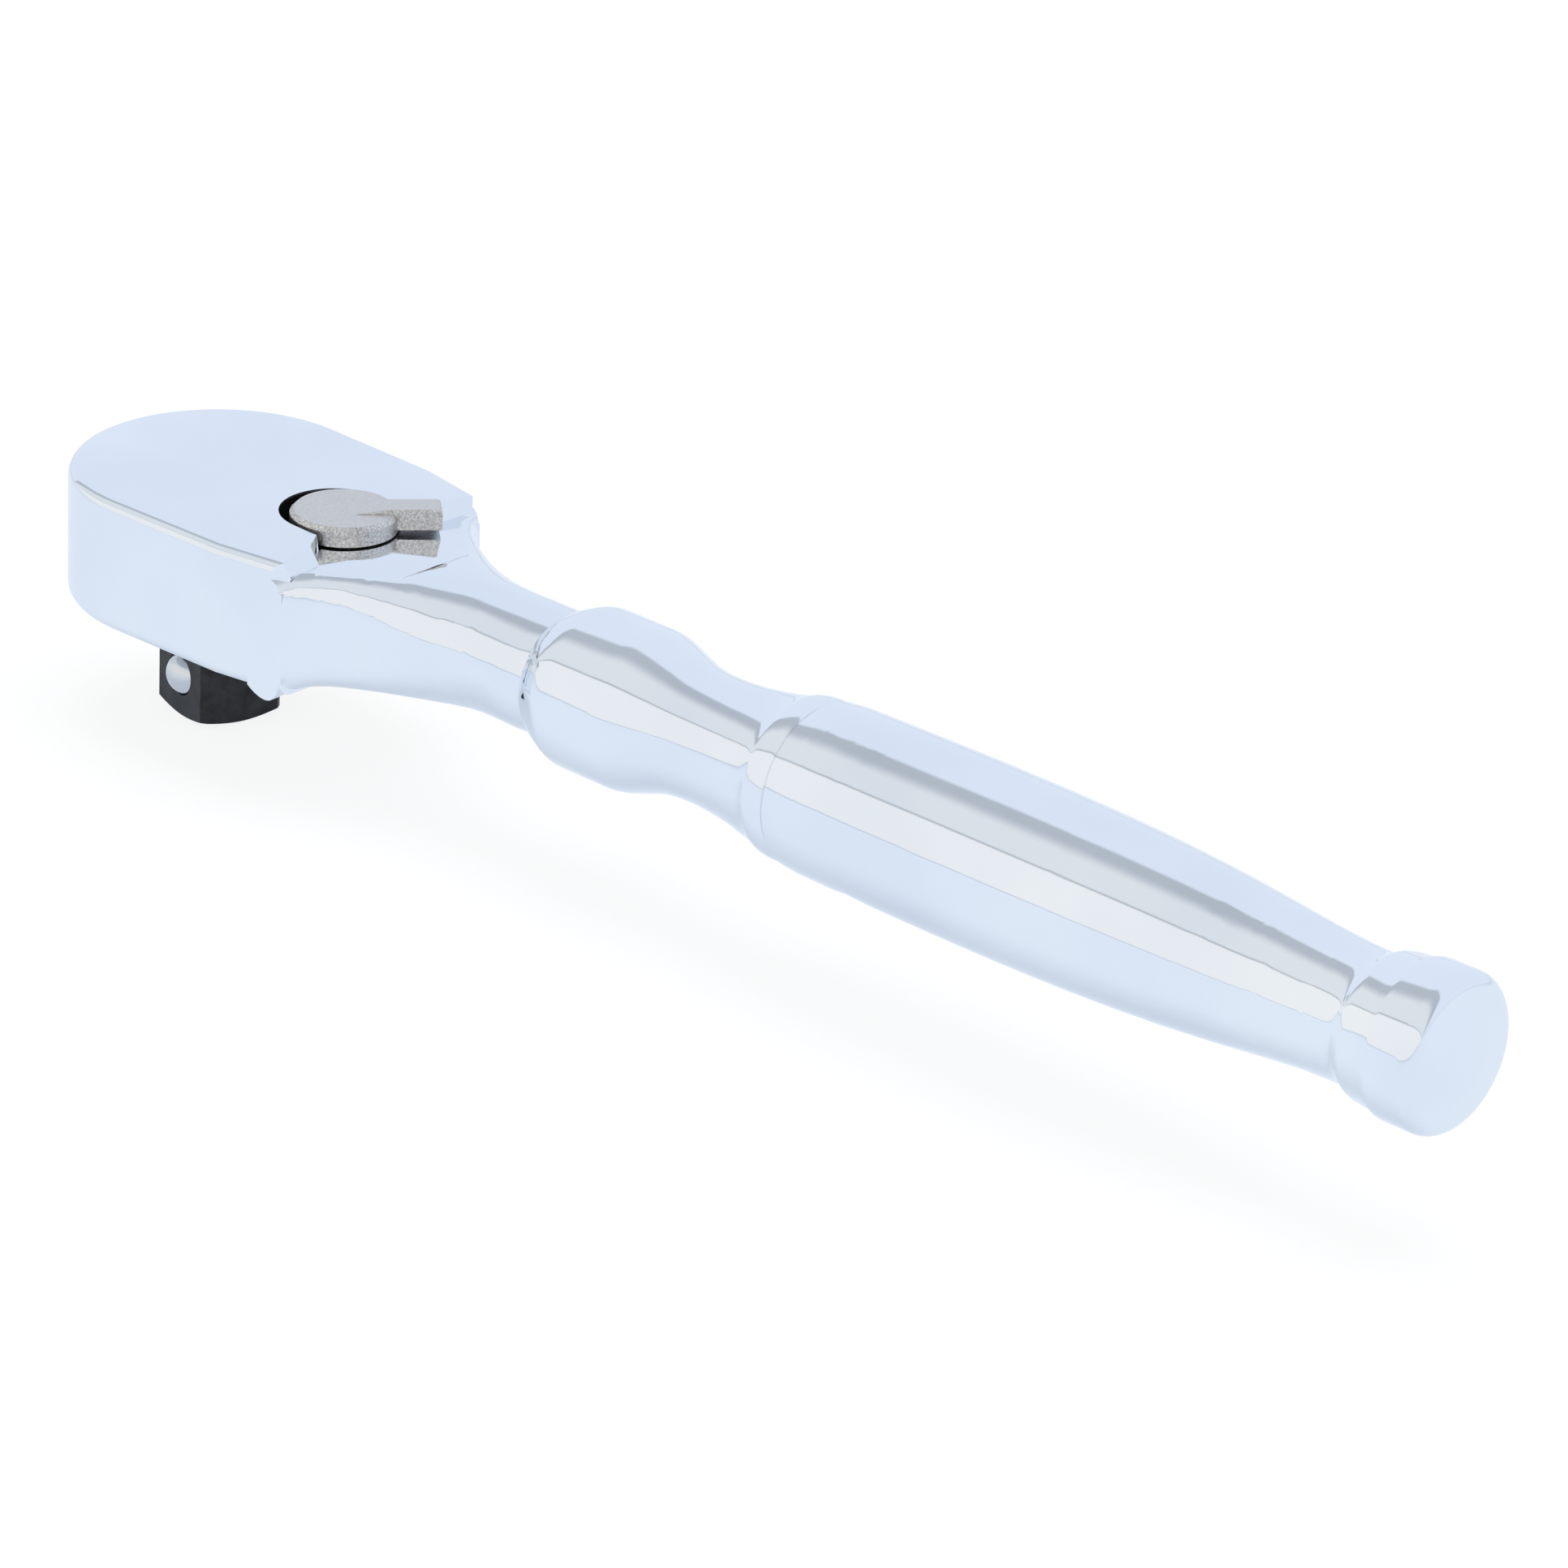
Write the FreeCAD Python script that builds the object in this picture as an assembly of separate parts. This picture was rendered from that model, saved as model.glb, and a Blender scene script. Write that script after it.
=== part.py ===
import FreeCAD
import Part
import math
import os

# Ratchet wrench, 3/8 inch drive, 7 inches long: one chrome forging with a sealed
# gear-and-pawl head, a flip lever on top and a cover plate let into the underside.
# Millimetres. +X runs from the drive axis to the knob, +Z up through the head.
# The origin is on the drive axis, level with the tip of the drive square.

V = FreeCAD.Vector
UP = V(0, 0, 1)

# ---- overall sizes
overall_length = 177.8
head_radius = 15.7
head_height = 14.4
square_size = 9.525
square_length = 12.7

# ---- head forging
head_side_flat_x = 15.2
head_side_draw_in = 0.35
head_end_x = 23.5
head_end_half = 13.9
head_top_round = 1.3
head_bottom_round = 1.5
shelf_depth = 1.6
roof_under_shelf = 3.3
step_top_line = [(20.1, 5.9), (21.7, 8.3), (22.9, 12.8), (23.2, 15.6)]
step_foot_line = [(20.4, 6.1), (23.3, 8.6), (23.5, 12.8), (23.5, 15.6)]
shelf_end_x = 30.9
shelf_run_out = 2.4
corner_cut = 1.3
handle_axis_up = 6.95

# ---- handle forging, stations along X and radii
# x, half width, rise above and drop below the handle's axis, fullness above and below
neck_stations = [
    (19.5, 16.1, 6.5, 6.95, 6.5, 9.0),
    (23.5, 13.9, 6.4, 6.95, 5.0, 7.0),
    (25.1, 11.9, 6.35, 6.95, 5.0, 5.0),
    (27.4, 10.2, 6.3, 6.95, 4.4, 4.4),
    (31.3, 8.5, 6.35, 6.95, 3.0, 3.4),
    (36.2, 7.3, 6.4, 6.8, 2.2, 2.4),
]
neck_radius = 6.5
neck_round_x = 41.5
neck_end_x = 49.6
crease_step = 0.15
collar_radius = 8.4
collar_start_x = 53.9
collar_end_x = 60.0
waist_radius = 6.5
waist_x = 70.4
bead_radius = 8.35
bead_start_x = 80.6
bead_width = 2.9
groove_depth = 0.35
groove_width = 0.5
grip_radius = 8.7
grip_front_radius = 8.5
grip_rear_radius = 8.45
grip_taper_length = 27.5
rear_waist_radius = 6.45
rear_waist_to_end = 11.0
knob_radius = 7.95
knob_length = 6.3
knob_edge_round = 1.7
knob_dome = 0.35

# ---- underside cover and its screws
cover_thickness = 1.8
gasket_thickness = 0.3
cover_gap = 0.1
cover_ledge = 1.7
screw_radius = 0.95
screw_head_radius = 1.9
screw_head_height = 1.1
screw_length = 5.2
screw_gap = 0.06
screw_socket_radius = 0.85
screw_side_x = 12.2
screw_side_y = 8.8
screw_rim = 0.65

# ---- drive gear
tooth_count = 90
gear_tip_radius = 10.6
tooth_depth = 0.5
tooth_flat = 0.04
gear_gap = 0.3
end_gap = 0.05
washer_thickness = 0.5
washer_width = 2.4
lower_journal_radius = 7.0
lower_journal_out = 0.3
upper_journal_radius = 6.5
upper_journal_length = 3.2
running_gap = 0.05
square_corner_radius = 6.35
square_turn = 32.2
tip_chamfer_up = 0.55
tip_chamfer_in = 1.6
seal_section = 0.9

# ---- drive ball in the face that the square shows to the near side
ball_radius = 2.38
ball_up = 4.45
ball_proud = 1.3
ball_gap = 0.05
ball_lip = 0.12
ball_hole_depth = 7.4
ball_spring_radius = 1.6
ball_spring_wire = 0.45

# ---- pawl
pawl_pivot_back = 1.8
pin_radius = 0.9
pin_gap = 0.04
pin_seat = 1.0
pawl_wall = 0.8
pawl_tilt = 5.0
pawl_arc_centre_x = 7.6
pawl_arc_radius = 6.9
pawl_half_span = 6.4
pawl_tooth_from = 13.0
pawl_tooth_to = 55.0
pawl_height = 6.0
pawl_back_gap = 0.1
mesh_gap = 0.04
pocket_gap = 0.8

# ---- selector lever
lever_x = 18.0
lever_swing = 49.0
disc_radius = 5.55
disc_edge_bevel = 0.45
disc_lift = 0.2
disc_height = 2.0
recess_radius = 5.9
recess_x = 16.9
recess_deeper = 1.0
boss_ledge = 0.9
tab_reach = 9.8
tab_width = 3.4
tab_lift = 0.5
tab_rise = 0.4
tab_edge_bevel = 0.3
stem_radius = 2.8
stem_gap = 0.05
stem_pocket_gap = 1.8
clip_thickness = 0.5
clip_width = 1.2
oring_section = 0.8
plunger_radius = 1.0
plunger_proud = 1.25
plunger_length = 2.7
plunger_gap = 0.04
plunger_spring_radius = 0.75
plunger_spring_wire = 0.3
plunger_spring_length = 2.85
coil_half_turns = 9

# ---- levels worked out from the sizes above
head_bottom = square_length
head_top = head_bottom + head_height
shelf_z = head_top - shelf_depth
axis_z = head_bottom + handle_axis_up
cover_top = head_bottom + cover_thickness
cavity_bottom = cover_top + gasket_thickness
cavity_roof = shelf_z - roof_under_shelf
gear_bottom = cover_top + washer_thickness + end_gap
gear_top = cavity_roof - 2 * end_gap
gear_root_radius = gear_tip_radius - tooth_depth
cavity_radius = gear_tip_radius + gear_gap
pawl_pivot_x = gear_tip_radius + pawl_pivot_back
pawl_bottom = cover_top + washer_thickness
stem_bottom = cover_top + 0.5
stem_pocket_radius = stem_radius + stem_pocket_gap
plunger_tip = stem_radius + plunger_proud
plunger_z = (pawl_bottom + pawl_bottom + pawl_height) / 2
disc_bottom = shelf_z + disc_lift
disc_top = disc_bottom + disc_height
square_end_turn = square_turn + 45
ball_turn = square_end_turn + 180
ball_centre = square_size / 2 + ball_proud - ball_radius
end_x = overall_length - head_radius


def at(radius, degrees, z=0.0):
    angle = math.radians(degrees)
    return V(radius * math.cos(angle), radius * math.sin(angle), z)


def cylinder(radius, z_low, z_high, x=0.0, y=0.0):
    return Part.makeCylinder(radius, z_high - z_low, V(x, y, z_low), UP)


def ring(outer, inner, z_low, z_high, x=0.0, y=0.0):
    return cylinder(outer, z_low, z_high, x, y).cut(cylinder(inner, z_low, z_high, x, y))


def prism(points, z_low, z_high):
    corners = [V(x, y, z_low) for x, y in points]
    face = Part.Face(Part.makePolygon(corners + corners[:1]))
    return face.extrude(V(0, 0, z_high - z_low))


def turned(shape, degrees, x=0.0, y=0.0):
    copy = shape.copy()
    copy.rotate(V(x, y, 0), UP, degrees)
    return copy


def hull_of_circles(circles, z_low, z_high):
    # circles are (x, y, radius), in order round a convex outline, counter-clockwise
    edges = []
    tangents = []
    count = len(circles)
    for index in range(count):
        x1, y1, r1 = circles[index]
        x2, y2, r2 = circles[(index + 1) % count]
        run = math.hypot(x2 - x1, y2 - y1)
        normal = math.atan2(y2 - y1, x2 - x1) - math.acos((r1 - r2) / run)
        out = V(math.cos(normal), math.sin(normal), 0)
        tangents.append((V(x1, y1, z_low) + out * r1, V(x2, y2, z_low) + out * r2, normal))
    for index in range(count):
        x, y, radius = circles[index]
        before = tangents[index - 1]
        after = tangents[index]
        sweep = (after[2] - before[2]) % (2 * math.pi)
        middle = V(x, y, z_low) + at(radius, math.degrees(before[2] + sweep / 2))
        edges.append(Part.Arc(before[1], middle, after[0]).toShape())
        edges.append(Part.makeLine(after[0], after[1]))
    return Part.Face(Part.Wire(edges)).extrude(V(0, 0, z_high - z_low))


# ---------------------------------------------------------------- forging

def head_outline(end_x_here, end_half_here):
    # a round front, two nearly straight sides, then a slight draw-in to the wall's end
    side_y = head_radius - head_side_draw_in
    front_angle = math.degrees(math.acos(head_side_draw_in / head_side_flat_x))
    left = at(head_radius, front_angle)
    points = [left, V(head_side_flat_x, side_y, 0), V(end_x_here, end_half_here, 0)]
    lower = [V(p.x, -p.y, 0) for p in points]
    edges = [Part.Arc(lower[0], V(-head_radius, 0, 0), left).toShape()]
    edges.append(Part.makeLine(points[0], points[1]))
    edges.append(Part.makeLine(points[1], points[2]))
    edges.append(Part.makeLine(points[2], lower[2]))
    edges.append(Part.makeLine(lower[2], lower[1]))
    edges.append(Part.makeLine(lower[1], lower[0]))
    return Part.Face(Part.Wire(edges))


def flat_edges(shape, z):
    found = []
    for edge in shape.Edges:
        box = edge.BoundBox
        level = abs(box.ZMin - z) < 1e-4 and abs(box.ZMax - z) < 1e-4
        across = box.XMax - box.XMin < 1e-4
        if level and not across:
            found.append(edge)
    return found


def head_block():
    block = head_outline(head_end_x + 6, side_half_at(head_end_x + 6)).extrude(V(0, 0, head_height))
    block.translate(V(0, 0, head_bottom))
    block = block.makeFillet(head_bottom_round, flat_edges(block, head_bottom))
    block = block.makeFillet(head_top_round, flat_edges(block, head_top))
    wide = 2 * head_radius + 8
    past_end = Part.makeBox(20, wide, head_height + 2, V(head_end_x, -wide / 2, head_bottom - 1))
    return block.cut(past_end).cut(behind_step()).cut(corner_cuts())


def corner_cuts():
    # the two upright corners at the step's ends are broken, down to the neck's shoulders
    start_x = head_end_x - corner_cut
    start_y = side_half_at(start_x)
    end_y = side_half_at(head_end_x) - corner_cut
    wide = start_y + corner_cut
    wedge = prism([(start_x, start_y), (head_end_x + 1, end_y - 1), (head_end_x + 1, wide), (start_x, wide)],
                  shelf_z - shelf_depth, head_top + 1)
    return wedge.fuse(wedge.mirror(V(0, 0, 0), V(0, 1, 0)))


def side_half_at(x):
    side_y = head_radius - head_side_draw_in
    slope = (side_y - head_end_half) / (head_end_x - head_side_flat_x)
    return side_y - slope * (x - head_side_flat_x)


def step_outline(line, z):
    # all that lies on the handle's side of one line of the step, mirrored across y = 0
    upper = [V(x, y, z) for x, y in line]
    lower = [V(x, -y, z) for x, y in reversed(line)]
    far_x = shelf_end_x + 60
    ends = [V(far_x, -line[-1][1], z), V(far_x, line[-1][1], z)]
    return Part.makePolygon(lower + upper + ends[::-1] + lower[:1])


def behind_step():
    # the wall leans back from its foot on the shelf to its top edge
    lean = Part.makeLoft([step_outline(step_foot_line, shelf_z), step_outline(step_top_line, head_top)],
                         True, True)
    above = Part.Face(step_outline(step_top_line, head_top)).extrude(V(0, 0, 2))
    return lean.fuse(above)


def neck_section(x, half_width, up, down, up_power, down_power):
    # a rounded section with its own fullness above and below the handle's axis
    points = []
    steps = 24
    for index in range(steps):
        angle = 2 * math.pi * index / steps
        c = math.cos(angle)
        s = math.sin(angle)
        power = up_power if s >= 0 else down_power
        height = up if s >= 0 else down
        y = half_width * math.copysign(abs(c) ** (2 / power), c)
        z = axis_z + height * math.copysign(abs(s) ** (2 / power), s)
        points.append(V(x, y, z))
    curve = Part.BSplineCurve()
    curve.interpolate(points, PeriodicFlag=True)
    return Part.Wire(curve.toShape())


def neck():
    sections = []
    for x, half_width, up, down, up_power, down_power in neck_stations:
        sections.append(neck_section(x, half_width, up, down, up_power, down_power))
    for x in (neck_round_x, neck_round_x + 2.0, neck_end_x - 1.5, neck_end_x + 1.0):
        sections.append(neck_section(x, neck_radius, neck_radius, neck_radius, 2.0, 2.0))
    return Part.makeLoft(sections, True, False)


def shelf_milling():
    # the cutter runs level over the shelf and leaves a short ramp at its end
    wide = 2 * head_radius
    high = head_top + 3
    ramp_x = shelf_end_x + shelf_run_out
    profile = [(0, shelf_z), (shelf_end_x, shelf_z), (ramp_x, axis_z + neck_radius + 0.3),
               (ramp_x, high), (0, high)]
    return prism_xz(profile, wide)


def smooth(points, start=None, end=None):
    curve = Part.BSplineCurve()
    knots = [V(x, 0, r) for x, r in points]
    if start is None:
        curve.interpolate(knots)
    else:
        first = V(start[0], 0, start[1])
        last = V(end[0], 0, end[1])
        curve.interpolate(knots, InitialTangent=first, FinalTangent=last)
    return curve.toShape()


def handle():
    flat = (1, 0)
    crease = neck_radius + crease_step
    bead_end_x = bead_start_x + bead_width
    grip_x = bead_end_x + groove_width
    taper_x = end_x - rear_waist_to_end - grip_taper_length
    rear_x = end_x - rear_waist_to_end
    knob_x = end_x - knob_length
    wires = []

    def line(x1, r1, x2, r2):
        wires.append(Part.makeLine(V(x1, 0, r1), V(x2, 0, r2)))

    line(neck_end_x, 0, neck_end_x, crease)
    rise = [(neck_end_x, crease), (neck_end_x + 2.1, collar_radius - 0.6),
            (collar_start_x, collar_radius)]
    wires.append(smooth(rise, (1, 0.75), flat))
    line(collar_start_x, collar_radius, collar_end_x, collar_radius)
    fall = [(collar_end_x, collar_radius), (collar_end_x + 2.4, collar_radius - 0.45),
            (collar_end_x + 5.2, collar_radius - 1.35), (waist_x, waist_radius)]
    wires.append(smooth(fall, flat, flat))
    climb = [(waist_x, waist_radius), (waist_x + 5.6, waist_radius + 0.5),
             (bead_start_x, bead_radius - 0.35)]
    wires.append(smooth(climb, flat, (1, 0.32)))
    bead = [(bead_start_x, bead_radius - 0.35), (bead_start_x + bead_width * 0.5, bead_radius),
            (bead_end_x, bead_radius - 0.2)]
    wires.append(smooth(bead, (1, 0.75), (1, -0.6)))
    low = bead_radius - groove_depth
    line(bead_end_x, bead_radius - 0.2, bead_end_x, low)
    line(bead_end_x, low, grip_x, low)
    line(grip_x, low, grip_x, grip_front_radius)
    belly = [(grip_x, grip_front_radius), (grip_x + 4.5, grip_radius),
             (taper_x, grip_rear_radius), (taper_x + grip_taper_length * 0.28, grip_rear_radius - 0.45),
             (taper_x + grip_taper_length * 0.6, grip_rear_radius - 1.25), (rear_x, rear_waist_radius)]
    wires.append(smooth(belly, (1, 0.12), flat))
    flare = [(rear_x, rear_waist_radius), (rear_x + 1.9, rear_waist_radius + 0.75),
             (knob_x, knob_radius - 0.35), (knob_x + 1.1, knob_radius)]
    wires.append(smooth(flare, flat, flat))
    line(knob_x + 1.1, knob_radius, end_x - knob_edge_round - knob_dome, knob_radius)
    edge_x = end_x - knob_dome
    corner = knob_edge_round
    bend = corner * math.sqrt(0.5)
    wires.append(Part.Arc(V(edge_x - corner, 0, knob_radius),
                          V(edge_x - corner + bend, 0, knob_radius - corner + bend),
                          V(edge_x, 0, knob_radius - corner)).toShape())
    dome = [(edge_x, knob_radius - corner), (edge_x + knob_dome * 0.75, (knob_radius - corner) / 2),
            (end_x, 0)]
    wires.append(smooth(dome, (0.1, -1), (0, -1)))
    line(end_x, 0, neck_end_x, 0)
    face = Part.Face(Part.Wire(wires))
    solid = face.revolve(V(0, 0, 0), V(1, 0, 0), 360)
    solid.translate(V(0, 0, axis_z))
    return solid


def lever_notch():
    # the disc's slot in the plateau, with a deeper moat round the boss that it turns on
    past = step_foot_line[0][0]
    slot = cylinder(recess_radius, shelf_z, head_top + 1, recess_x)
    slot = slot.fuse(Part.makeBox(past - recess_x, 2 * recess_radius, head_top + 1 - shelf_z,
                                  V(recess_x, -recess_radius, shelf_z)))
    moat = slot.copy()
    moat.translate(V(0, 0, -recess_deeper))
    boss = cylinder(disc_radius - boss_ledge, shelf_z - recess_deeper - 1, shelf_z, lever_x)
    return slot.fuse(moat.cut(boss))


def gear_cavity():
    # gear chamber, pawl pocket and stem pocket, all open to the underside
    low = cavity_bottom - 0.01
    gear = cylinder(cavity_radius, low, cavity_roof)
    pocket = cylinder(pawl_arc_radius + pocket_gap, low, cavity_roof, pawl_arc_centre_x)
    stem = cylinder(stem_pocket_radius, low, cavity_roof, lever_x)
    return gear.fuse([pocket, stem])


def cover_circles(shrink):
    ear = screw_head_radius + screw_rim
    return [
        (0, 0, cavity_radius + cover_ledge - shrink),
        (screw_side_x, -screw_side_y, ear - shrink),
        (cover_tail_x(), 0, ear - shrink),
        (screw_side_x, screw_side_y, ear - shrink),
    ]


def cover_tail_x():
    return lever_x + stem_pocket_radius + screw_head_radius + 0.2


def screw_places():
    return [(screw_side_x, screw_side_y), (screw_side_x, -screw_side_y), (cover_tail_x(), 0)]


def body_forging():
    block = head_block()
    past_neck = neck_end_x + 2
    walls = head_outline(past_neck, side_half_at(past_neck)).extrude(V(0, 0, head_height + 4))
    walls.translate(V(0, 0, head_bottom - 2))
    throat = neck().common(walls).cut(shelf_milling())
    body = block.fuse(throat).fuse(handle())
    body = body.cut(lever_notch())
    body = body.cut(hull_of_circles(cover_circles(0), head_bottom - 1, cavity_bottom))
    body = body.cut(gear_cavity())
    upper_bore_top = gear_top + upper_journal_length + 2 * end_gap
    body = body.cut(cylinder(upper_journal_radius + running_gap, cavity_roof - 0.01, upper_bore_top))
    body = body.cut(cylinder(stem_radius + stem_gap, cavity_roof - 0.01, shelf_z + 0.01, lever_x))
    body = body.cut(cylinder(pin_radius, cavity_roof - 0.01, cavity_roof + pin_seat, pawl_pivot_x))
    for x, y in screw_places():
        depth = head_bottom + screw_length + 0.5
        body = body.cut(cylinder(screw_radius + screw_gap, cavity_bottom - 0.01, depth, x, y))
    return body.removeSplitter()


# ---------------------------------------------------------------- drive

def gear_profile(tip, root, phase):
    # straight-sided teeth, the crest at phase (in pitches) from the +X axis
    pitch = 360 / tooth_count
    points = []
    for index in range(tooth_count):
        middle = (index + phase) * pitch
        for radius, offset in ((tip, -tooth_flat), (tip, tooth_flat),
                               (root, 0.5 - tooth_flat), (root, 0.5 + tooth_flat)):
            p = at(radius, middle + offset * pitch)
            points.append((p.x, p.y))
    return points


def ball_bore():
    face = square_size / 2
    axis = at(1, ball_turn)
    centre = V(0, 0, ball_up)
    mouth_radius = ball_radius - ball_lip
    lip_start = ball_centre + math.sqrt(ball_radius ** 2 - mouth_radius ** 2) + 0.03
    bore_start = face - ball_hole_depth
    bore = Part.makeCylinder(ball_radius + ball_gap, lip_start - bore_start,
                             centre + axis * bore_start, axis)
    mouth = Part.makeCylinder(mouth_radius, 3, centre + axis * (lip_start - 0.01), axis)
    return bore.fuse(mouth)


def drive_square():
    half = square_size / 2
    bar = Part.makeBox(square_size, square_size, head_bottom, V(-half, -half, 0))
    bar = turned(bar, square_end_turn)
    turned_down = cylinder(square_corner_radius, tip_chamfer_up, head_bottom)
    nose = Part.makeCone(square_corner_radius - tip_chamfer_in, square_corner_radius, tip_chamfer_up)
    return bar.common(turned_down.fuse(nose))


def drive_gear():
    teeth = prism(gear_profile(gear_tip_radius, gear_root_radius, 0.25), gear_bottom, gear_top)
    lower = cylinder(lower_journal_radius, head_bottom - lower_journal_out, gear_bottom)
    top = gear_top + upper_journal_length
    upper = cylinder(upper_journal_radius, gear_top, top)
    upper = upper.makeChamfer(0.3, flat_edges(upper, top))
    body = drive_square().fuse([lower, teeth, upper])
    groove_low = gear_top + upper_journal_length * 0.35
    body = body.cut(ring(upper_journal_radius + 1, upper_journal_radius - seal_section,
                         groove_low, groove_low + seal_section * 1.2))
    return body.cut(ball_bore()).removeSplitter()


def drag_ring():
    # the drag ring fills the groove of the upper journal
    groove_low = gear_top + upper_journal_length * 0.35
    section = seal_section / 2
    return Part.makeTorus(upper_journal_radius - section, section - 0.02,
                          V(0, 0, groove_low + seal_section * 0.6), UP)


def drive_seal():
    # square-section ring in the cover plate's bore, wiping the lower journal
    middle = (head_bottom + cover_top) / 2
    inner = lower_journal_radius + running_gap
    return ring(inner + seal_section, inner, middle - seal_section / 2, middle + seal_section / 2)


def thrust_washer():
    inner = lower_journal_radius + 2 * running_gap
    return ring(inner + washer_width, inner, cover_top, cover_top + washer_thickness)


def coil_spring(radius, wire, length, half_turns, start, axis):
    # a coil of half turns, each a flat bend tilted by the lead, joined in line
    rise = (length - wire) / half_turns
    bend_radius = math.hypot(2 * radius, rise) / 2
    tilt = math.degrees(math.atan2(rise, 2 * radius))
    coil = None
    for index in range(half_turns):
        side = 1 if index % 2 == 0 else -1
        bend = Part.makeTorus(bend_radius, wire / 2, V(0, 0, 0), UP, 0, 360, 180)
        bend.rotate(V(0, 0, 0), V(0, 1, 0), tilt)
        bend.rotate(V(0, 0, 0), UP, 0 if side > 0 else 180)
        bend.translate(V(0, 0, wire / 2 + rise * (index + 0.5)))
        coil = bend if coil is None else coil.fuse(bend)
    turn = FreeCAD.Rotation(UP, axis)
    coil.Placement = FreeCAD.Placement(start, turn).multiply(coil.Placement)
    return coil


def drive_ball():
    return Part.makeSphere(ball_radius, at(ball_centre, ball_turn, ball_up))


def drive_ball_spring():
    seat = square_size / 2 - ball_hole_depth
    length = ball_centre - ball_radius * 0.8 - seat
    start = at(seat, ball_turn, ball_up)
    return coil_spring(ball_spring_radius, ball_spring_wire, length, coil_half_turns, start, at(1, ball_turn))


# ---------------------------------------------------------------- pawl

def mesh_cutter(side):
    # the gear's space as the pawl sees it, with teeth only over the arm in mesh
    free = gear_tip_radius + 0.15
    bite = tooth_depth * (0.25 - 2 * tooth_flat) / (0.5 - 2 * tooth_flat)
    tip = gear_tip_radius - bite + mesh_gap + tooth_depth
    low = pawl_bottom - 1
    high = pawl_bottom + pawl_height + 1
    smooth_part = cylinder(free, low, high)
    reach = 2 * gear_tip_radius
    first = at(reach, side * pawl_tooth_from)
    last = at(reach, side * pawl_tooth_to)
    wedge = prism([(0, 0), (first.x, first.y), (last.x, last.y)], low, high)
    teeth = prism(gear_profile(tip, tip - tooth_depth, 0.5), low, high)
    return smooth_part.cut(wedge).fuse(teeth.common(wedge))


def pawl():
    high = pawl_bottom + pawl_height
    blank = cylinder(pawl_arc_radius, pawl_bottom, high, pawl_arc_centre_x)
    trim = Part.makeBox(20, 2 * pawl_half_span, pawl_height, V(0, -pawl_half_span, pawl_bottom))
    blank = blank.common(trim)
    back = cylinder(plunger_tip + pawl_back_gap, pawl_bottom - 1, high + 1, lever_x)
    for side in (1, -1):
        tilt = side * pawl_tilt
        blank = turned(blank, tilt, pawl_pivot_x)
        blank = blank.cut(mesh_cutter(side)).cut(back)
        blank = turned(blank, -tilt, pawl_pivot_x)
    blank = blank.cut(back)
    blank = blank.cut(cylinder(pin_radius + pin_gap, pawl_bottom, high, pawl_pivot_x))
    return turned(blank, -pawl_tilt, pawl_pivot_x)


def pawl_pin():
    low = cover_top - pin_seat
    return cylinder(pin_radius - 0.005, low, cavity_roof + pin_seat - 0.05, pawl_pivot_x)


# ---------------------------------------------------------------- selector

def clip_levels():
    high = cavity_roof - end_gap
    return high - clip_thickness, high


def plunger_hole_start():
    return plunger_tip - plunger_length - plunger_spring_length - end_gap


def along_plunger(distance):
    toward = at(1, 180 + lever_swing)
    return V(lever_x, 0, plunger_z) + toward * distance


def selector_lever():
    disc = cylinder(disc_radius, disc_bottom, disc_top, lever_x)
    disc = disc.makeChamfer(disc_edge_bevel, flat_edges(disc, disc_top))
    tab_top = disc_top + tab_rise
    half = tab_width / 2
    tab = Part.makeBox(tab_reach, tab_width, tab_top - shelf_z - tab_lift,
                       V(lever_x, -half, shelf_z + tab_lift))
    upper = [e for e in tab.Edges if e.BoundBox.ZMin > tab_top - 0.01 and e.BoundBox.XMax > lever_x + 1]
    tab = tab.makeChamfer(tab_edge_bevel, upper)
    slope = prism_xz([(lever_x - 1, disc_top), (lever_x + 1.0, disc_top), (lever_x + 4.2, tab_top + 0.01),
                      (lever_x + 4.2, tab_top + 2), (lever_x - 1, tab_top + 2)], tab_width)
    head = disc.fuse(tab.cut(slope))
    head = turned(head, lever_swing, lever_x)
    stem = cylinder(stem_radius, stem_bottom, disc_bottom + 0.2, lever_x)
    clip_low, clip_high = clip_levels()
    stem = stem.cut(ring(stem_radius + 1, stem_radius - 0.45, clip_low - 0.03, clip_high + 0.03, lever_x))
    middle = (cavity_roof + shelf_z) / 2
    stem = stem.cut(ring(stem_radius + 1, stem_radius - oring_section, middle - oring_section * 0.6,
                         middle + oring_section * 0.6, lever_x))
    toward = at(1, 180 + lever_swing)
    hole = Part.makeCylinder(plunger_radius + plunger_gap, 2 * stem_radius,
                             along_plunger(plunger_hole_start()), toward)
    return head.fuse(stem).cut(hole).removeSplitter()


def prism_xz(points, width):
    corners = [V(x, -width, z) for x, z in points]
    face = Part.Face(Part.makePolygon(corners + corners[:1]))
    return face.extrude(V(0, 2 * width, 0))


def lever_clip():
    # an open ring sprung into the stem's groove, under the roof
    low, high = clip_levels()
    clip = ring(stem_radius - 0.42 + clip_width, stem_radius - 0.42, low, high, lever_x)
    gap = Part.makeBox(6, 2.2, 2, V(lever_x, -1.1, low - 0.5))
    return clip.cut(turned(gap, lever_swing, lever_x))


def lever_oring():
    section = oring_section / 2
    middle = (cavity_roof + shelf_z) / 2
    return Part.makeTorus(stem_radius - section, section - 0.02, V(lever_x, 0, middle), UP)


def selector_plunger():
    toward = at(1, 180 + lever_swing)
    body_end = plunger_tip - plunger_radius
    body = Part.makeCylinder(plunger_radius, plunger_length - plunger_radius,
                             along_plunger(plunger_tip - plunger_length), toward)
    return body.fuse(Part.makeSphere(plunger_radius, along_plunger(body_end))).removeSplitter()


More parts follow.
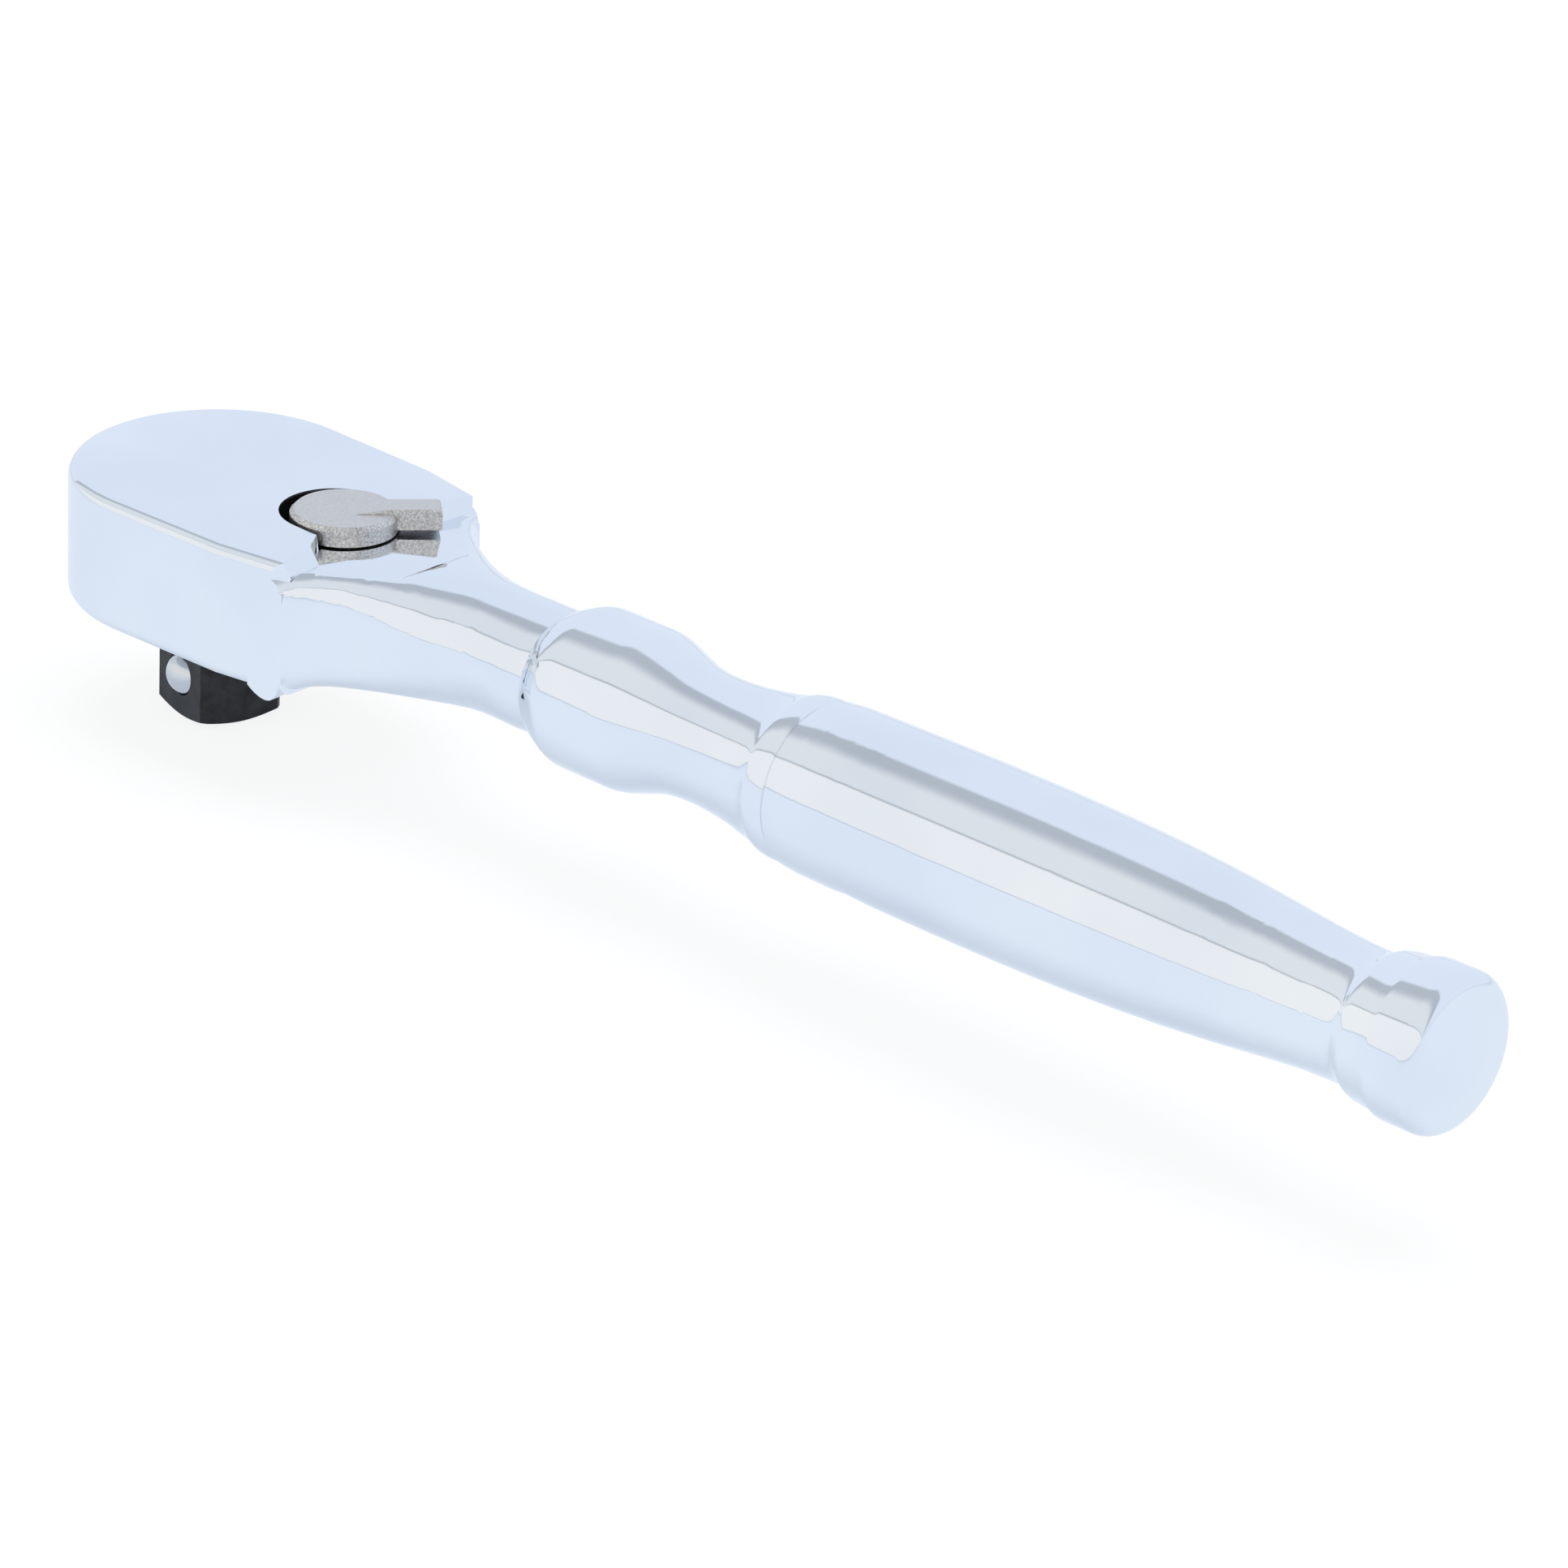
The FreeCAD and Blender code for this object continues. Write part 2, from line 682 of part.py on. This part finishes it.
def plunger_spring():
    start = along_plunger(plunger_hole_start())
    return coil_spring(plunger_spring_radius, plunger_spring_wire, plunger_spring_length,
                       coil_half_turns, start, at(1, 180 + lever_swing))


# ---------------------------------------------------------------- cover

def cover_plate():
    plate = hull_of_circles(cover_circles(cover_gap), head_bottom, cover_top)
    bore = lower_journal_radius + running_gap
    plate = plate.cut(cylinder(bore, head_bottom, cover_top))
    middle = (head_bottom + cover_top) / 2
    groove = seal_section / 2 + 0.02
    plate = plate.cut(ring(bore + seal_section + 0.02, bore - 0.1, middle - groove, middle + groove))
    plate = plate.cut(cylinder(pin_radius, cover_top - pin_seat - 0.05, cover_top, pawl_pivot_x))
    for x, y in screw_places():
        plate = plate.cut(cylinder(screw_radius + screw_gap, head_bottom, cover_top, x, y))
        sink = Part.makeCone(screw_head_radius + screw_gap, screw_radius + screw_gap,
                             screw_head_height, V(x, y, head_bottom), UP)
        plate = plate.cut(sink)
    return plate


def cover_gasket():
    sheet = hull_of_circles(cover_circles(cover_gap), cover_top, cavity_bottom)
    inner = cavity_radius + 0.2
    sheet = sheet.cut(cylinder(inner, cover_top, cavity_bottom))
    sheet = sheet.cut(cylinder(pawl_arc_radius + pocket_gap + 0.2, cover_top, cavity_bottom,
                               pawl_arc_centre_x))
    sheet = sheet.cut(cylinder(stem_pocket_radius + 0.2, cover_top, cavity_bottom, lever_x))
    for x, y in screw_places():
        sheet = sheet.cut(cylinder(screw_radius + screw_gap, cover_top, cavity_bottom, x, y))
    return sheet


def cover_screw(x, y):
    head = Part.makeCone(screw_head_radius, screw_radius, screw_head_height,
                         V(x, y, head_bottom), UP)
    shank = cylinder(screw_radius, head_bottom + screw_head_height, head_bottom + screw_length, x, y)
    corners = []
    for index in range(6):
        p = at(screw_socket_radius, 60 * index)
        corners.append((x + p.x, y + p.y))
    socket = prism(corners, head_bottom, head_bottom + screw_head_height * 0.8)
    return head.fuse(shank).cut(socket).removeSplitter()


def cover_screws():
    return Part.makeCompound([cover_screw(x, y) for x, y in screw_places()])


# ---------------------------------------------------------------- write

def write(name, shape):
    shape.exportStep(os.path.join("parts", name + ".step"))


os.makedirs("parts", exist_ok=True)
write("body_forging", body_forging())
write("drive_gear", drive_gear())
write("drag_ring", drag_ring())
write("drive_seal", drive_seal())
write("thrust_washer", thrust_washer())
write("drive_ball", drive_ball())
write("drive_ball_spring", drive_ball_spring())
write("pawl", pawl())
write("pawl_pin", pawl_pin())
write("selector_lever", selector_lever())
write("lever_clip", lever_clip())
write("lever_oring", lever_oring())
write("selector_plunger", selector_plunger())
write("plunger_spring", plunger_spring())
write("cover_plate", cover_plate())
write("cover_gasket", cover_gasket())
write("cover_screws", cover_screws())
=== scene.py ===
import math
import bpy
from mathutils import Matrix, Vector


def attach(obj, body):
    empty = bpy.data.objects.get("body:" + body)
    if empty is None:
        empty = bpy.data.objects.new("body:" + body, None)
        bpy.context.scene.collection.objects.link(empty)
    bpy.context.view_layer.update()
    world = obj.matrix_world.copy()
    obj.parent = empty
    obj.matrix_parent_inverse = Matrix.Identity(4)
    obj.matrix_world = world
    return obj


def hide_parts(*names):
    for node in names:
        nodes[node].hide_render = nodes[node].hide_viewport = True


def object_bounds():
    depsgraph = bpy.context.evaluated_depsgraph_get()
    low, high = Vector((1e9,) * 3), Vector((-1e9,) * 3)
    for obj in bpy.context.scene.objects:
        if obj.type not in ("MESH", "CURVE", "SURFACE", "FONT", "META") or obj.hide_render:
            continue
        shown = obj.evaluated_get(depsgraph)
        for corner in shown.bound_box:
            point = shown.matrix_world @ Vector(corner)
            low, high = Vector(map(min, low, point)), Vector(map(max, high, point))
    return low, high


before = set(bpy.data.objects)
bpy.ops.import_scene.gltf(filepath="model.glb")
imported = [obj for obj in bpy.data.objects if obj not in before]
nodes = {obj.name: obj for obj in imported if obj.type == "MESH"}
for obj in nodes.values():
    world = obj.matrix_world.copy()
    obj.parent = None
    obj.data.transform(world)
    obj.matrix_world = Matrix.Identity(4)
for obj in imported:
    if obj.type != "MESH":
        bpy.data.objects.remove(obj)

cad_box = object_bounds()
MM = 0.001
scene = bpy.context.scene


# Studio. A white sheet for a floor, a wide soft lamp overhead and two smaller ones.
# What polished steel mirrors here is the sheet, a pale wall with a grey rail, a
# greyer corner above it and a blue-white ceiling.
class Socket:
    """One output of a node; arithmetic on it adds Math nodes."""

    def __init__(self, tree, out):
        self.tree = tree
        self.out = out

    def _maths(self, operation, *values):
        return add_node(self.tree, "ShaderNodeMath", {"operation": operation}, *values)

    def __add__(self, other):
        return self._maths("ADD", self, other)

    def __radd__(self, other):
        return self._maths("ADD", other, self)

    def __sub__(self, other):
        return self._maths("SUBTRACT", self, other)

    def __rsub__(self, other):
        return self._maths("SUBTRACT", other, self)

    def __mul__(self, other):
        return self._maths("MULTIPLY", self, other)

    def __rmul__(self, other):
        return self._maths("MULTIPLY", other, self)

    def over(self, low, high):
        """0 below low, 1 above high, and a soft step between."""
        ramp = {"interpolation_type": "SMOOTHSTEP", "clamp": True}
        return add_node(self.tree, "ShaderNodeMapRange", ramp, self, low, high, 0.0, 1.0)


def add_node(tree, kind, settings=None, *values, out=0, **named):
    """Adds one node: its settings, then its sockets by order or by name."""
    node = tree.nodes.new(kind)
    for key, value in (settings or {}).items():
        setattr(node, key, value)
    given = list(enumerate(values)) + list(named.items())
    for key, value in given:
        if value is None:
            continue
        socket = node.inputs[key if isinstance(key, int) else key.replace("_", " ")]
        if isinstance(value, Socket):
            tree.links.new(value.out, socket)
        else:
            socket.default_value = value
    return Socket(tree, node.outputs[out]) if len(node.outputs) else None


def mix_colour(tree, amount, first, second):
    node = tree.nodes.new("ShaderNodeMix")
    node.data_type = "RGBA"
    for index, value in ((0, amount), (6, first), (7, second)):
        if isinstance(value, Socket):
            tree.links.new(value.out, node.inputs[index])
        else:
            node.inputs[index].default_value = value
    return Socket(tree, node.outputs[2])


def fresh_tree(owner):
    owner.use_nodes = True
    owner.node_tree.nodes.clear()
    return owner.node_tree


SHEET_BLUE = (0.70, 0.78, 0.90, 1)
WALL_WHITE = (0.93, 0.95, 0.965, 1)
UPPER_WALL = (0.80, 0.84, 0.88, 1)
RAIL_GREY = (0.48, 0.52, 0.56, 1)
CORNER_GREY = (0.50, 0.55, 0.61, 1)
CEILING_BLUE = (0.79, 0.87, 0.99, 1)
FILL_GREY = (0.62, 0.64, 0.67, 1)
PAPER = (0.86, 0.87, 0.88, 1)
WHITE = (1, 1, 1, 1)
SHEET_SIZE = 30
SHEET_BELOW = 0.2 * MM

world = bpy.data.worlds.new("studio")
scene.world = world
sky = fresh_tree(world)
aim = add_node(sky, "ShaderNodeTexCoord", out="Generated")
split = sky.nodes.new("ShaderNodeSeparateXYZ")
sky.links.new(aim.out, split.inputs[0])
aside = Socket(sky, split.outputs[1])
rise = Socket(sky, split.outputs[2])
turn = add_node(sky, "ShaderNodeMath", {"operation": "ARCTAN2"}, rise, aside * -1.0)
rail = math.radians(44)
rail_half = math.radians(2.2)
corner = math.radians(89)
corner_half = math.radians(9)
ceiling_start = math.radians(104)
soft = math.radians(1.5)
mirrored = mix_colour(sky, turn.over(rail, rail + soft), WALL_WHITE, UPPER_WALL)
on_rail = turn.over(rail - rail_half, rail) * (1.0 - turn.over(rail, rail + rail_half))
mirrored = mix_colour(sky, on_rail, mirrored, RAIL_GREY)
mirrored = mix_colour(sky, turn.over(corner - 2 * corner_half, corner), mirrored, CORNER_GREY)
mirrored = mix_colour(sky, turn.over(corner + corner_half, ceiling_start), mirrored, CEILING_BLUE)
mirrored = mix_colour(sky, (rise * -1.0).over(0.0, 0.03), mirrored, SHEET_BLUE)
rays = sky.nodes.new("ShaderNodeLightPath")
seen = Socket(sky, rays.outputs["Is Camera Ray"])
glossy = Socket(sky, rays.outputs["Is Glossy Ray"])
tone = mix_colour(sky, glossy, FILL_GREY, mirrored)
tone = mix_colour(sky, seen, tone, WHITE)
lit = add_node(sky, "ShaderNodeBackground", None, tone, 1.0)
add_node(sky, "ShaderNodeOutputWorld", None, lit)

bpy.ops.mesh.primitive_plane_add(size=SHEET_SIZE, location=(0, 0, -SHEET_BELOW))
sheet = bpy.context.object
sheet.name = "studio_sheet"
paper = bpy.data.materials.new("white_sheet")
grid = fresh_tree(paper)
rays = grid.nodes.new("ShaderNodeLightPath")
seen = Socket(grid, rays.outputs["Is Camera Ray"])
glossy = Socket(grid, rays.outputs["Is Glossy Ray"])
matt = add_node(grid, "ShaderNodeBsdfDiffuse", None, PAPER)
glow = add_node(grid, "ShaderNodeEmission", None, mix_colour(grid, glossy, WHITE, SHEET_BLUE), 1.0)
part_lit = add_node(grid, "ShaderNodeMixShader", None, seen * 0.86 + glossy * 0.75, matt, glow)
add_node(grid, "ShaderNodeOutputMaterial", None, part_lit)
sheet.data.materials.append(paper)


def soft_lamp(name, place, size, power, target):
    lamp = bpy.data.lights.new(name, "AREA")
    lamp.shape = "RECTANGLE"
    lamp.size, lamp.size_y = size
    lamp.energy = power
    lamp.color = (0.96, 0.98, 1.0)
    holder = bpy.data.objects.new(name, lamp)
    scene.collection.objects.link(holder)
    holder.location = place
    toward = (Vector(target) - Vector(place)).to_track_quat("-Z", "Y")
    holder.rotation_euler = toward.to_euler()
    holder.visible_glossy = False


middle = (cad_box[0] + cad_box[1]) / 2
soft_lamp("overhead", (0.05, 0.1, 0.7), (0.7, 0.5), 4.0, middle)
soft_lamp("near_side", (-0.2, -0.7, 0.35), (0.5, 0.4), 2.2, middle)
soft_lamp("far_end", (0.75, 0.2, 0.3), (0.4, 0.3), 1.2, middle)

# Camera, level with a person bending over a bench, a little to the handle's side.
look_at = Vector((79.70, -0.67, 18.57)) * MM
distance = 703.5 * MM
azimuth = 0.72960
elevation = 0.43011
roll = 0.047475
back = Vector((math.sin(azimuth) * math.cos(elevation), -math.cos(azimuth) * math.cos(elevation),
               math.sin(elevation)))
level = Vector((math.cos(azimuth), math.sin(azimuth), 0))
upright = back.cross(level)
right = math.cos(roll) * level + math.sin(roll) * upright
up = -math.sin(roll) * level + math.cos(roll) * upright
lens = bpy.data.cameras.new("camera")
lens.sensor_width = 36
lens.lens = 168.03
lens.clip_start = 0.05
camera = bpy.data.objects.new("camera", lens)
scene.collection.objects.link(camera)
turned_to = Matrix((right, up, back)).transposed().to_4x4()
camera.matrix_world = Matrix.Translation(look_at + back * distance) @ turned_to
scene.camera = camera
scene.view_settings.view_transform = "Standard"


# Forging. Head, neck, grip and knob are one steel forging, polished and chrome
# plated, with faint polishing drag and a slight waviness. The walls and floor of
# the recess round the lever's disc are painted dark, as painted shade.
RECESS_CENTRE = (16.9 * MM, 0, 0)
RECESS_WALL = (5.94 * MM, 5.98 * MM)
RECESS_MOUTH = (20.2 * MM, 20.5 * MM)
RECESS_SHADE_BELOW = (26.9 * MM, 27.0 * MM)
# Painted shade: the dark colour painted on the walls and floor of the recess round the lever's disc.
RECESS_PAINTED_SHADE = (0.012, 0.012, 0.013, 1)
MERGE_WITHIN = 0.001 * MM


def new_finish(name):
    """An empty material, its tree and the object coordinates that its pattern reads."""
    stuff = bpy.data.materials.new(name)
    tree = fresh_tree(stuff)
    return stuff, tree, add_node(tree, "ShaderNodeTexCoord", out="Object")


def plated_chrome():
    stuff, tree, place = new_finish("bright_chrome")
    slow = add_node(tree, "ShaderNodeTexNoise", None, Vector=place, Scale=55.0, Detail=2.0, Roughness=0.5)
    drag = add_node(tree, "ShaderNodeMapping", {"vector_type": "POINT"}, Vector=place,
                    Scale=(60, 900, 900))
    hair = add_node(tree, "ShaderNodeTexNoise", None, Vector=drag, Scale=3.0, Detail=4.0, Roughness=0.6)
    smear = add_node(tree, "ShaderNodeTexNoise", None, Vector=place, Scale=140.0, Detail=5.0, Roughness=0.6)
    shade = mix_colour(tree, slow.over(0.3, 0.7), (0.83, 0.86, 0.90, 1), (0.88, 0.90, 0.93, 1))
    flat = add_node(tree, "ShaderNodeVectorMath", {"operation": "MULTIPLY"}, place, (1, 1, 0))
    reach = add_node(tree, "ShaderNodeVectorMath", {"operation": "DISTANCE"}, flat, RECESS_CENTRE, out=1)
    level = add_node(tree, "ShaderNodeSeparateXYZ", None, place, out=2)
    along = add_node(tree, "ShaderNodeSeparateXYZ", None, place, out=0)
    below = 1.0 - level.over(*RECESS_SHADE_BELOW)
    before = 1.0 - along.over(*RECESS_MOUTH)
    # Painted shade mask: inside the recess round the lever's disc, below its top and short of its mouth.
    # There the colour is darkened, the roughness raised and the metal lowered.
    recess_shade = (1.0 - reach.over(*RECESS_WALL)) * below * before
    shade = mix_colour(tree, recess_shade, shade, RECESS_PAINTED_SHADE)
    bump = add_node(tree, "ShaderNodeBump", None, Strength=0.06, Distance=0.0004, Height=slow)
    haze = 0.035 + 0.03 * smear.over(0.45, 0.75) + 0.02 * hair + 0.4 * recess_shade
    shine = add_node(tree, "ShaderNodeBsdfPrincipled", None, Base_Color=shade, Metallic=1.0 - 0.5 * recess_shade,
                     Roughness=haze, Normal=bump)
    add_node(tree, "ShaderNodeOutputMaterial", None, shine)
    return stuff


def dress(name, stuff):
    node = nodes[name]
    node.data.materials.clear()
    node.data.materials.append(stuff)


def merged_copy(name, piece_name, angle, stuff):
    """The CAD node's shape with its triangles joined, so that round faces shade smoothly."""
    piece = bpy.data.objects.new(piece_name, nodes[name].data.copy())
    scene.collection.objects.link(piece)
    bpy.ops.object.select_all(action="DESELECT")
    piece.select_set(True)
    bpy.context.view_layer.objects.active = piece
    bpy.ops.object.mode_set(mode="EDIT")
    bpy.ops.mesh.select_all(action="SELECT")
    bpy.ops.mesh.remove_doubles(threshold=MERGE_WITHIN)
    bpy.ops.mesh.customdata_custom_splitnormals_clear()
    bpy.ops.object.mode_set(mode="OBJECT")
    bpy.ops.object.shade_smooth_by_angle(angle=math.radians(angle))
    piece.data.materials.clear()
    piece.data.materials.append(stuff)
    return piece


forging = merged_copy("body_forging", "forging", 28, plated_chrome())
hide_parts("body_forging")
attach(forging, "handle")


# Drive. Gear, journals and square are turned and milled from one bar, hardened and
# blacked. The pawl inside and the cover's screws have the same finish.
def blacked_steel():
    stuff, tree, place = new_finish("blacked_steel")
    cloud = add_node(tree, "ShaderNodeTexNoise", None, Vector=place, Scale=420.0, Detail=5.0, Roughness=0.6)
    grain = add_node(tree, "ShaderNodeTexNoise", None, Vector=place, Scale=6000.0, Detail=2.0)
    shade = mix_colour(tree, cloud.over(0.35, 0.7), (0.020, 0.020, 0.022, 1), (0.042, 0.040, 0.040, 1))
    bump = add_node(tree, "ShaderNodeBump", None, Strength=0.12, Distance=0.00004, Height=grain)
    shine = add_node(tree, "ShaderNodeBsdfPrincipled", None, Base_Color=shade, Metallic=0.75,
                     Roughness=0.30 + 0.14 * cloud, Normal=bump)
    add_node(tree, "ShaderNodeOutputMaterial", None, shine)
    return stuff


black = blacked_steel()
for name in ("drive_gear", "pawl", "cover_screws"):
    dress(name, black)


# Ball and plunger. Hardened steel, lapped bright. The ball holds the socket on the
# square, and the plunger in the lever's stem tips the pawl.
def lapped_steel():
    stuff, tree, place = new_finish("lapped_steel")
    mark = add_node(tree, "ShaderNodeTexNoise", None, Vector=place, Scale=900.0, Detail=3.0)
    shade = mix_colour(tree, mark, (0.66, 0.67, 0.69, 1), (0.76, 0.77, 0.78, 1))
    shine = add_node(tree, "ShaderNodeBsdfPrincipled", None, Base_Color=shade, Metallic=1.0,
                     Roughness=0.12 + 0.1 * mark)
    add_node(tree, "ShaderNodeOutputMaterial", None, shine)
    return stuff


lapped = lapped_steel()
for name in ("drive_ball", "selector_plunger"):
    dress(name, lapped)


# Springs, pin, clip and washer. Drawn and stamped spring steel, left bare, all of
# them closed inside the head.
def drawn_steel():
    stuff, tree, place = new_finish("drawn_steel")
    stain = add_node(tree, "ShaderNodeTexNoise", None, Vector=place, Scale=700.0, Detail=4.0)
    shade = mix_colour(tree, stain, (0.36, 0.36, 0.37, 1), (0.52, 0.52, 0.53, 1))
    shine = add_node(tree, "ShaderNodeBsdfPrincipled", None, Base_Color=shade, Metallic=1.0,
                     Roughness=0.28 + 0.15 * stain)
    add_node(tree, "ShaderNodeOutputMaterial", None, shine)
    return stuff


drawn = drawn_steel()
for name in ("drive_ball_spring", "plunger_spring", "pawl_pin", "lever_clip", "thrust_washer"):
    dress(name, drawn)


# Selector lever. An investment casting, nickel plated: its faces keep the fine grain
# of the mould, which sparkles, and its top face is rubbed flatter.
def cast_nickel():
    stuff, tree, place = new_finish("cast_nickel")
    grain = add_node(tree, "ShaderNodeTexNoise", None, Vector=place, Scale=4200.0, Detail=3.0,
                     Roughness=0.7)
    lump = add_node(tree, "ShaderNodeTexNoise", None, Vector=place, Scale=900.0, Detail=2.0)
    bearing = add_node(tree, "ShaderNodeNewGeometry", out="Normal")
    parts = tree.nodes.new("ShaderNodeSeparateXYZ")
    tree.links.new(bearing.out, parts.inputs[0])
    flat = Socket(tree, parts.outputs[2]).over(0.9, 0.99)
    shade = mix_colour(tree, grain.over(0.3, 0.7), (0.42, 0.395, 0.37, 1), (0.86, 0.83, 0.80, 1))
    shade = mix_colour(tree, flat * 0.75, shade, (0.70, 0.665, 0.645, 1))
    bump = add_node(tree, "ShaderNodeBump", None, Strength=0.55, Distance=0.00006,
                    Height=(grain + lump * 0.5) * (1.0 - flat * 0.8))
    shine = add_node(tree, "ShaderNodeBsdfPrincipled", None, Base_Color=shade, Metallic=1.0,
                     Roughness=0.30 + 0.12 * grain, Normal=bump)
    add_node(tree, "ShaderNodeOutputMaterial", None, shine)
    return stuff


lever = merged_copy("selector_lever", "lever", 32, cast_nickel())
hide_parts("selector_lever")
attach(lever, "selector")


# Rubber rings and gasket. Black nitrile rubber, moulded or cut from sheet. They keep
# dirt out of the head and give the drive its drag.
def nitrile_rubber():
    stuff, tree, place = new_finish("nitrile_rubber")
    bloom = add_node(tree, "ShaderNodeTexNoise", None, Vector=place, Scale=1500.0, Detail=4.0)
    shade = mix_colour(tree, bloom, (0.012, 0.012, 0.013, 1), (0.035, 0.035, 0.036, 1))
    shine = add_node(tree, "ShaderNodeBsdfPrincipled", None, Base_Color=shade, Roughness=0.5 + 0.25 * bloom)
    add_node(tree, "ShaderNodeOutputMaterial", None, shine)
    return stuff


rubber = nitrile_rubber()
for name in ("drag_ring", "drive_seal", "lever_oring", "cover_gasket"):
    dress(name, rubber)


# Cover plate. Stamped steel, let flush into the underside and held by three screws.
# It is satin chrome plated over a straight brushed grain.
def brushed_plate():
    stuff, tree, place = new_finish("brushed_plate")
    along = add_node(tree, "ShaderNodeMapping", {"vector_type": "POINT"}, Vector=place,
                     Scale=(150, 4000, 4000))
    grain = add_node(tree, "ShaderNodeTexNoise", None, Vector=along, Scale=1.0, Detail=5.0, Roughness=0.65)
    shade = mix_colour(tree, grain, (0.56, 0.58, 0.60, 1), (0.74, 0.75, 0.77, 1))
    bump = add_node(tree, "ShaderNodeBump", None, Strength=0.15, Distance=0.00003, Height=grain)
    shine = add_node(tree, "ShaderNodeBsdfPrincipled", None, Base_Color=shade, Metallic=1.0,
                     Roughness=0.22 + 0.16 * grain, Normal=bump)
    add_node(tree, "ShaderNodeOutputMaterial", None, shine)
    return stuff


dress("cover_plate", brushed_plate())
